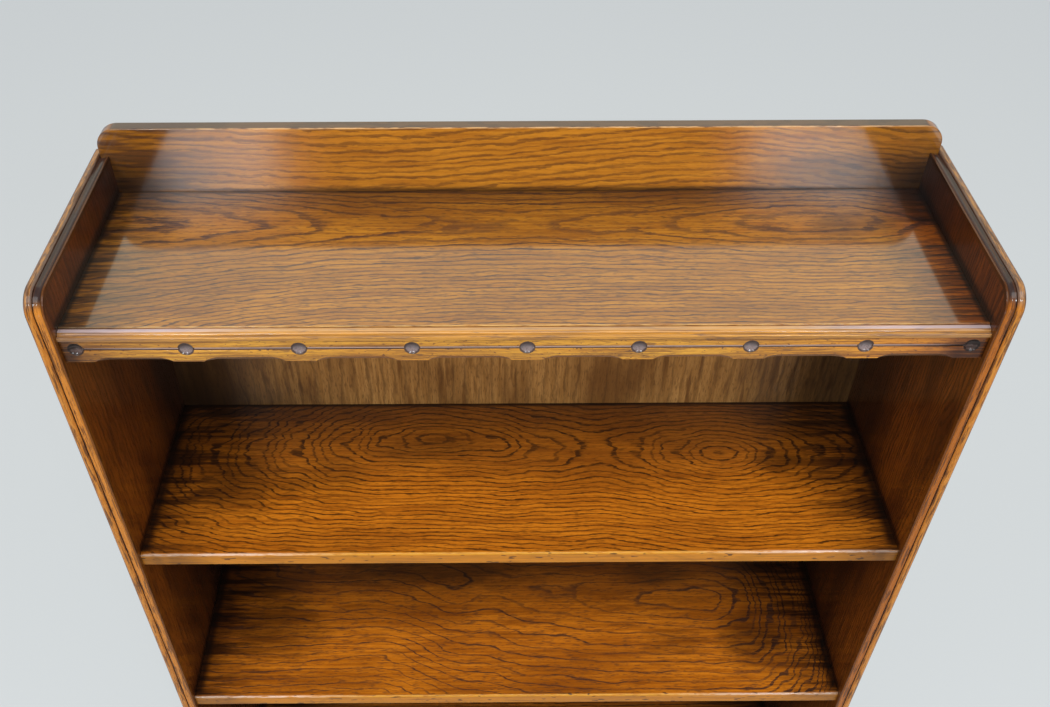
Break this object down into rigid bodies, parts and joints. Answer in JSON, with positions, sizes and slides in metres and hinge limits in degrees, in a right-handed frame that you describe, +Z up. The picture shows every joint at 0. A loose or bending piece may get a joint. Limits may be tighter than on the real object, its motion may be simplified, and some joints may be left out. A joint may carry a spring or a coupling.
{
  "type": "open-front bookcase",
  "caption": "Open-front oak bookcase with full-width shelves, a carved frieze under the top, a low gallery behind it, moulded side edges and a set-back plinth.",
  "frame": {"origin": "on the floor under the middle of the case", "axes": "+Z up; +X to the right as a person facing the open front sees it; +Y from the open front to the back"},
  "size_m": [0.914, 0.254, 1.251],
  "materials": {
    "left_side": "dark oak, waxed",
    "right_side": "dark oak, waxed",
    "top_board": "golden oak, polished",
    "upper_shelf": "golden oak, polished",
    "lower_shelf": "golden oak, polished",
    "bottom_board": "golden oak, polished",
    "gallery_board": "golden oak, waxed",
    "frieze_rail": "golden oak, waxed",
    "back_panel": "stained oak plywood, satin",
    "plinth_board": "oak, waxed",
    "glue_blocks": "unfinished softwood",
    "gallery_screws": "dull steel",
    "back_pins": "dull steel"
  },
  "bodies": {
    "root": {"left_side": "left_side", "right_side": "right_side", "top_board": "top_board", "upper_shelf": "upper_shelf", "lower_shelf": "lower_shelf", "bottom_board": "bottom_board", "gallery_board": "gallery_board", "frieze_rail": "frieze_rail", "back_panel": "back_panel", "plinth_board": "plinth_board", "frieze_block_1": "glue_blocks", "frieze_block_2": "glue_blocks", "frieze_block_3": "glue_blocks", "frieze_block_4": "glue_blocks", "plinth_block_1": "glue_blocks", "plinth_block_2": "glue_blocks", "plinth_block_3": "glue_blocks", "plinth_corner_block_left": "glue_blocks", "plinth_corner_block_right": "glue_blocks", "gallery_screw_top_1": "gallery_screws", "gallery_screw_top_2": "gallery_screws", "gallery_screw_top_3": "gallery_screws", "gallery_screw_left": "gallery_screws", "gallery_screw_right": "gallery_screws", "back_pin_left_1": "back_pins", "back_pin_left_2": "back_pins", "back_pin_left_3": "back_pins", "back_pin_left_4": "back_pins", "back_pin_left_5": "back_pins", "back_pin_left_6": "back_pins", "back_pin_right_1": "back_pins", "back_pin_right_2": "back_pins", "back_pin_right_3": "back_pins", "back_pin_right_4": "back_pins", "back_pin_right_5": "back_pins", "back_pin_right_6": "back_pins", "back_pin_gallery_1": "back_pins", "back_pin_gallery_2": "back_pins", "back_pin_gallery_3": "back_pins", "back_pin_upper_shelf_1": "back_pins", "back_pin_upper_shelf_2": "back_pins", "back_pin_upper_shelf_3": "back_pins", "back_pin_lower_shelf_1": "back_pins", "back_pin_lower_shelf_2": "back_pins", "back_pin_lower_shelf_3": "back_pins", "back_pin_bottom_board_1": "back_pins", "back_pin_bottom_board_2": "back_pins", "back_pin_bottom_board_3": "back_pins"}
  },
  "joints": []
}
